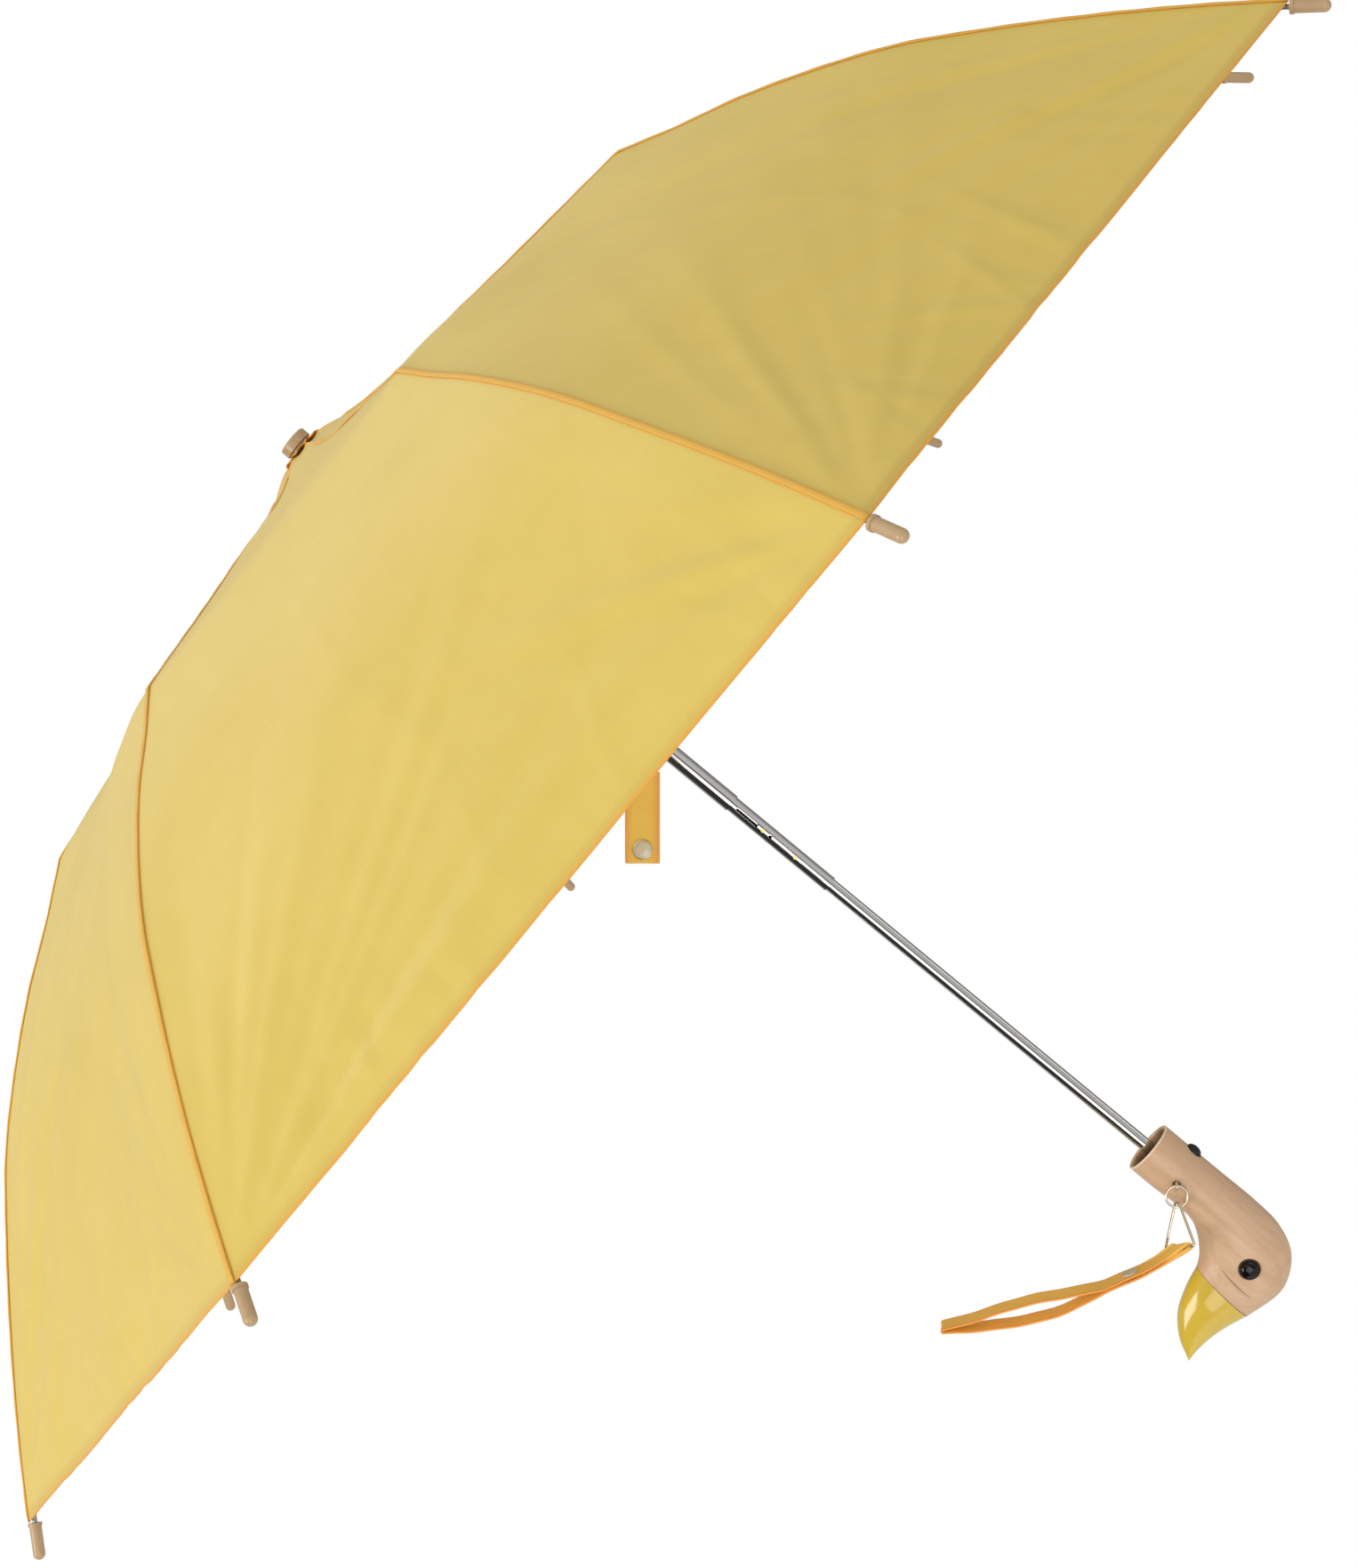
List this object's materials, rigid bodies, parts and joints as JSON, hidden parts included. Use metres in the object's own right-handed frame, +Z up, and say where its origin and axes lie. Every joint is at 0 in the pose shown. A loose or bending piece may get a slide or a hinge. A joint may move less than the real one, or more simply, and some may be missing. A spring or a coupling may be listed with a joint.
{
  "type": "folding children's umbrella",
  "caption": "Compact folding umbrella for a child, with a plain cloth canopy on jointed ribs, a telescoping shaft, a duck-head handle and a wrist strap.",
  "frame": {"origin": "centre of the handle's mouth, on the shaft's axis", "axes": "+Z up the shaft to the finial, -X towards the beak, so the head's mirror plane is XZ"},
  "size_m": [0.797, 0.797, 0.5756],
  "materials": {
    "wood": "satin",
    "beak_gloss": "glossy",
    "eye": "glossy",
    "nickel": "polished",
    "steel": "polished",
    "rib_steel": "satin",
    "brass": "polished",
    "button": "matte",
    "dark_plastic": "matte",
    "tan_plastic": "satin",
    "cloth": "matte",
    "trim_cloth": "matte",
    "snap": "pearl"
  },
  "bodies": {
    "handle": {"handle": "wood", "beak": "beak_gloss", "eyes": "eye", "strap_eyelet": "nickel", "lower_tube": "steel"},
    "press_button": {"press_button": "button"},
    "middle_tube": {"middle_tube": "steel", "catch_pins": "brass"},
    "upper_tube": {"upper_tube": "steel", "crown": "dark_plastic", "finial": "tan_plastic", "rosette": "trim_cloth", "canopy": "cloth"},
    "runner": {"runner": "dark_plastic"},
    "closure_strap": {"closure_strap": "trim_cloth", "closure_snap": "snap"},
    "split_ring": {"split_ring": "nickel"},
    "triangle_link": {"triangle_link": "nickel"},
    "wrist_strap": {"wrist_strap": "trim_cloth", "strap_snap": "snap"},
    "top_rib_1": {"top_rib_1": "rib_steel"},
    "mid_rib_1": {"mid_rib_1": "rib_steel"},
    "outer_rib_1": {"outer_rib_1": "rib_steel", "rib_tip_1": "tan_plastic"},
    "stretcher_1": {"stretcher_1": "rib_steel"},
    "top_rib_2": {"top_rib_2": "rib_steel"},
    "mid_rib_2": {"mid_rib_2": "rib_steel"},
    "outer_rib_2": {"outer_rib_2": "rib_steel", "rib_tip_2": "tan_plastic"},
    "stretcher_2": {"stretcher_2": "rib_steel"},
    "top_rib_3": {"top_rib_3": "rib_steel"},
    "mid_rib_3": {"mid_rib_3": "rib_steel"},
    "outer_rib_3": {"outer_rib_3": "rib_steel", "rib_tip_3": "tan_plastic"},
    "stretcher_3": {"stretcher_3": "rib_steel"},
    "top_rib_4": {"top_rib_4": "rib_steel"},
    "mid_rib_4": {"mid_rib_4": "rib_steel"},
    "outer_rib_4": {"outer_rib_4": "rib_steel", "rib_tip_4": "tan_plastic"},
    "stretcher_4": {"stretcher_4": "rib_steel"},
    "top_rib_5": {"top_rib_5": "rib_steel"},
    "mid_rib_5": {"mid_rib_5": "rib_steel"},
    "outer_rib_5": {"outer_rib_5": "rib_steel", "rib_tip_5": "tan_plastic"},
    "stretcher_5": {"stretcher_5": "rib_steel"},
    "top_rib_6": {"top_rib_6": "rib_steel"},
    "mid_rib_6": {"mid_rib_6": "rib_steel"},
    "outer_rib_6": {"outer_rib_6": "rib_steel", "rib_tip_6": "tan_plastic"},
    "stretcher_6": {"stretcher_6": "rib_steel"},
    "top_rib_7": {"top_rib_7": "rib_steel"},
    "mid_rib_7": {"mid_rib_7": "rib_steel"},
    "outer_rib_7": {"outer_rib_7": "rib_steel", "rib_tip_7": "tan_plastic"},
    "stretcher_7": {"stretcher_7": "rib_steel"},
    "top_rib_8": {"top_rib_8": "rib_steel"},
    "mid_rib_8": {"mid_rib_8": "rib_steel"},
    "outer_rib_8": {"outer_rib_8": "rib_steel", "rib_tip_8": "tan_plastic"},
    "stretcher_8": {"stretcher_8": "rib_steel"}
  },
  "joints": [
    {"name": "middle_tube_slide", "type": "slide", "parent": "handle", "child": "middle_tube", "axis": [0, 0, -1], "range_m": [0, 0.182]},
    {"name": "upper_tube_slide", "type": "slide", "parent": "middle_tube", "child": "upper_tube", "axis": [0, 0, -1], "range_m": [0, 0.056]},
    {"name": "runner_slide", "type": "slide", "parent": "upper_tube", "child": "runner", "axis": [0, 0, -1], "range_m": [0, 0.06715], "deforming": ["canopy", "closure_strap"]},
    {"name": "button_press", "type": "slide", "parent": "handle", "child": "press_button", "axis": [-1, 0, 0], "range_m": [0, 0.0012], "stiffness_N_per_m": 600, "springref_m": -0.001},
    {"name": "crown_hinge_1", "type": "hinge", "parent": "upper_tube", "child": "top_rib_1", "pos_m": [0.00739, 0.00306, 0.476], "axis": [-0.3827, 0.9239, 0], "range_deg": [0, 77.82]},
    {"name": "knee_hinge_1", "type": "hinge", "parent": "top_rib_1", "child": "mid_rib_1", "pos_m": [0.18937, 0.07844, 0.44122], "axis": [0.3827, -0.9239, 0], "range_deg": [0, 194.32]},
    {"name": "elbow_hinge_1", "type": "hinge", "parent": "mid_rib_1", "child": "outer_rib_1", "pos_m": [0.28716, 0.11895, 0.37651], "axis": [-0.3827, 0.9239, 0], "range_deg": [0, 165.02]},
    {"name": "stretcher_hinge_1", "type": "hinge", "parent": "runner", "child": "stretcher_1", "pos_m": [0.00739, 0.00306, 0.37919], "axis": [0.3827, -0.9239, 0], "range_deg": [0, 33.69]},
    {"name": "crown_hinge_2", "type": "hinge", "parent": "upper_tube", "child": "top_rib_2", "pos_m": [0.00306, 0.00739, 0.476], "axis": [-0.9239, 0.3827, 0], "range_deg": [0, 77.82]},
    {"name": "knee_hinge_2", "type": "hinge", "parent": "top_rib_2", "child": "mid_rib_2", "pos_m": [0.07844, 0.18937, 0.44122], "axis": [0.9239, -0.3827, 0], "range_deg": [0, 194.32]},
    {"name": "elbow_hinge_2", "type": "hinge", "parent": "mid_rib_2", "child": "outer_rib_2", "pos_m": [0.11895, 0.28716, 0.37651], "axis": [-0.9239, 0.3827, 0], "range_deg": [0, 165.02]},
    {"name": "stretcher_hinge_2", "type": "hinge", "parent": "runner", "child": "stretcher_2", "pos_m": [0.00306, 0.00739, 0.37919], "axis": [0.9239, -0.3827, 0], "range_deg": [0, 33.69]},
    {"name": "crown_hinge_3", "type": "hinge", "parent": "upper_tube", "child": "top_rib_3", "pos_m": [-0.00306, 0.00739, 0.476], "axis": [-0.9239, -0.3827, 0], "range_deg": [0, 77.82]},
    {"name": "knee_hinge_3", "type": "hinge", "parent": "top_rib_3", "child": "mid_rib_3", "pos_m": [-0.07844, 0.18937, 0.44122], "axis": [0.9239, 0.3827, 0], "range_deg": [0, 194.32]},
    {"name": "elbow_hinge_3", "type": "hinge", "parent": "mid_rib_3", "child": "outer_rib_3", "pos_m": [-0.11895, 0.28716, 0.37651], "axis": [-0.9239, -0.3827, 0], "range_deg": [0, 165.02]},
    {"name": "stretcher_hinge_3", "type": "hinge", "parent": "runner", "child": "stretcher_3", "pos_m": [-0.00306, 0.00739, 0.37919], "axis": [0.9239, 0.3827, 0], "range_deg": [0, 33.69]},
    {"name": "crown_hinge_4", "type": "hinge", "parent": "upper_tube", "child": "top_rib_4", "pos_m": [-0.00739, 0.00306, 0.476], "axis": [-0.3827, -0.9239, 0], "range_deg": [0, 77.82]},
    {"name": "knee_hinge_4", "type": "hinge", "parent": "top_rib_4", "child": "mid_rib_4", "pos_m": [-0.18937, 0.07844, 0.44122], "axis": [0.3827, 0.9239, 0], "range_deg": [0, 194.32]},
    {"name": "elbow_hinge_4", "type": "hinge", "parent": "mid_rib_4", "child": "outer_rib_4", "pos_m": [-0.28716, 0.11895, 0.37651], "axis": [-0.3827, -0.9239, 0], "range_deg": [0, 165.02]},
    {"name": "stretcher_hinge_4", "type": "hinge", "parent": "runner", "child": "stretcher_4", "pos_m": [-0.00739, 0.00306, 0.37919], "axis": [0.3827, 0.9239, 0], "range_deg": [0, 33.69]},
    {"name": "crown_hinge_5", "type": "hinge", "parent": "upper_tube", "child": "top_rib_5", "pos_m": [-0.00739, -0.00306, 0.476], "axis": [0.3827, -0.9239, 0], "range_deg": [0, 77.82]},
    {"name": "knee_hinge_5", "type": "hinge", "parent": "top_rib_5", "child": "mid_rib_5", "pos_m": [-0.18937, -0.07844, 0.44122], "axis": [-0.3827, 0.9239, 0], "range_deg": [0, 194.32]},
    {"name": "elbow_hinge_5", "type": "hinge", "parent": "mid_rib_5", "child": "outer_rib_5", "pos_m": [-0.28716, -0.11895, 0.37651], "axis": [0.3827, -0.9239, 0], "range_deg": [0, 165.02]},
    {"name": "stretcher_hinge_5", "type": "hinge", "parent": "runner", "child": "stretcher_5", "pos_m": [-0.00739, -0.00306, 0.37919], "axis": [-0.3827, 0.9239, 0], "range_deg": [0, 33.69]},
    {"name": "crown_hinge_6", "type": "hinge", "parent": "upper_tube", "child": "top_rib_6", "pos_m": [-0.00306, -0.00739, 0.476], "axis": [0.9239, -0.3827, 0], "range_deg": [0, 77.82]},
    {"name": "knee_hinge_6", "type": "hinge", "parent": "top_rib_6", "child": "mid_rib_6", "pos_m": [-0.07844, -0.18937, 0.44122], "axis": [-0.9239, 0.3827, 0], "range_deg": [0, 194.32]},
    {"name": "elbow_hinge_6", "type": "hinge", "parent": "mid_rib_6", "child": "outer_rib_6", "pos_m": [-0.11895, -0.28716, 0.37651], "axis": [0.9239, -0.3827, 0], "range_deg": [0, 165.02]},
    {"name": "stretcher_hinge_6", "type": "hinge", "parent": "runner", "child": "stretcher_6", "pos_m": [-0.00306, -0.00739, 0.37919], "axis": [-0.9239, 0.3827, 0], "range_deg": [0, 33.69]},
    {"name": "crown_hinge_7", "type": "hinge", "parent": "upper_tube", "child": "top_rib_7", "pos_m": [0.00306, -0.00739, 0.476], "axis": [0.9239, 0.3827, 0], "range_deg": [0, 77.82]},
    {"name": "knee_hinge_7", "type": "hinge", "parent": "top_rib_7", "child": "mid_rib_7", "pos_m": [0.07844, -0.18937, 0.44122], "axis": [-0.9239, -0.3827, 0], "range_deg": [0, 194.32]},
    {"name": "elbow_hinge_7", "type": "hinge", "parent": "mid_rib_7", "child": "outer_rib_7", "pos_m": [0.11895, -0.28716, 0.37651], "axis": [0.9239, 0.3827, 0], "range_deg": [0, 165.02]},
    {"name": "stretcher_hinge_7", "type": "hinge", "parent": "runner", "child": "stretcher_7", "pos_m": [0.00306, -0.00739, 0.37919], "axis": [-0.9239, -0.3827, 0], "range_deg": [0, 33.69]},
    {"name": "crown_hinge_8", "type": "hinge", "parent": "upper_tube", "child": "top_rib_8", "pos_m": [0.00739, -0.00306, 0.476], "axis": [0.3827, 0.9239, 0], "range_deg": [0, 77.82]},
    {"name": "knee_hinge_8", "type": "hinge", "parent": "top_rib_8", "child": "mid_rib_8", "pos_m": [0.18937, -0.07844, 0.44122], "axis": [-0.3827, -0.9239, 0], "range_deg": [0, 194.32]},
    {"name": "elbow_hinge_8", "type": "hinge", "parent": "mid_rib_8", "child": "outer_rib_8", "pos_m": [0.28716, -0.11895, 0.37651], "axis": [0.3827, 0.9239, 0], "range_deg": [0, 165.02]},
    {"name": "stretcher_hinge_8", "type": "hinge", "parent": "runner", "child": "stretcher_8", "pos_m": [0.00739, -0.00306, 0.37919], "axis": [-0.3827, -0.9239, 0], "range_deg": [0, 33.69]},
    {"name": "closure_strap_carry", "type": "slide", "parent": "upper_tube", "child": "closure_strap", "axis": [0.2271, -0.9739, 0], "range_m": [0, 0.35716]},
    {"name": "ring_swing", "type": "hinge", "parent": "handle", "child": "split_ring", "pos_m": [-0.0029, -0.0142, -0.0182], "axis": [0, 1, 0], "range_deg": [-15, 30]},
    {"name": "link_swing", "type": "hinge", "parent": "split_ring", "child": "triangle_link", "pos_m": [-0.00987, -0.0142, -0.02451], "axis": [0, 1, 0], "range_deg": [-12, 15]},
    {"name": "strap_swing", "type": "hinge", "parent": "triangle_link", "child": "wrist_strap", "pos_m": [-0.02195, -0.0201, -0.0359], "axis": [0.6202, -0.7442, -0.2481], "range_deg": [-15, 35]}
  ],
  "couplings": [
    {"joint": "crown_hinge_1", "follows": "runner_slide", "rad_per_m": 20.221},
    {"joint": "knee_hinge_1", "follows": "runner_slide", "rad_per_m": 50.501},
    {"joint": "elbow_hinge_1", "follows": "runner_slide", "rad_per_m": 42.886},
    {"joint": "stretcher_hinge_1", "follows": "runner_slide", "rad_per_m": 8.7509},
    {"joint": "crown_hinge_2", "follows": "runner_slide", "rad_per_m": 20.221},
    {"joint": "knee_hinge_2", "follows": "runner_slide", "rad_per_m": 50.501},
    {"joint": "elbow_hinge_2", "follows": "runner_slide", "rad_per_m": 42.886},
    {"joint": "stretcher_hinge_2", "follows": "runner_slide", "rad_per_m": 8.7509},
    {"joint": "crown_hinge_3", "follows": "runner_slide", "rad_per_m": 20.221},
    {"joint": "knee_hinge_3", "follows": "runner_slide", "rad_per_m": 50.501},
    {"joint": "elbow_hinge_3", "follows": "runner_slide", "rad_per_m": 42.886},
    {"joint": "stretcher_hinge_3", "follows": "runner_slide", "rad_per_m": 8.7509},
    {"joint": "crown_hinge_4", "follows": "runner_slide", "rad_per_m": 20.221},
    {"joint": "knee_hinge_4", "follows": "runner_slide", "rad_per_m": 50.501},
    {"joint": "elbow_hinge_4", "follows": "runner_slide", "rad_per_m": 42.886},
    {"joint": "stretcher_hinge_4", "follows": "runner_slide", "rad_per_m": 8.7509},
    {"joint": "crown_hinge_5", "follows": "runner_slide", "rad_per_m": 20.221},
    {"joint": "knee_hinge_5", "follows": "runner_slide", "rad_per_m": 50.501},
    {"joint": "elbow_hinge_5", "follows": "runner_slide", "rad_per_m": 42.886},
    {"joint": "stretcher_hinge_5", "follows": "runner_slide", "rad_per_m": 8.7509},
    {"joint": "crown_hinge_6", "follows": "runner_slide", "rad_per_m": 20.221},
    {"joint": "knee_hinge_6", "follows": "runner_slide", "rad_per_m": 50.501},
    {"joint": "elbow_hinge_6", "follows": "runner_slide", "rad_per_m": 42.886},
    {"joint": "stretcher_hinge_6", "follows": "runner_slide", "rad_per_m": 8.7509},
    {"joint": "crown_hinge_7", "follows": "runner_slide", "rad_per_m": 20.221},
    {"joint": "knee_hinge_7", "follows": "runner_slide", "rad_per_m": 50.501},
    {"joint": "elbow_hinge_7", "follows": "runner_slide", "rad_per_m": 42.886},
    {"joint": "stretcher_hinge_7", "follows": "runner_slide", "rad_per_m": 8.7509},
    {"joint": "crown_hinge_8", "follows": "runner_slide", "rad_per_m": 20.221},
    {"joint": "knee_hinge_8", "follows": "runner_slide", "rad_per_m": 50.501},
    {"joint": "elbow_hinge_8", "follows": "runner_slide", "rad_per_m": 42.886},
    {"joint": "stretcher_hinge_8", "follows": "runner_slide", "rad_per_m": 8.7509},
    {"joint": "closure_strap_carry", "follows": "runner_slide", "ratio": 5.3174}
  ]
}
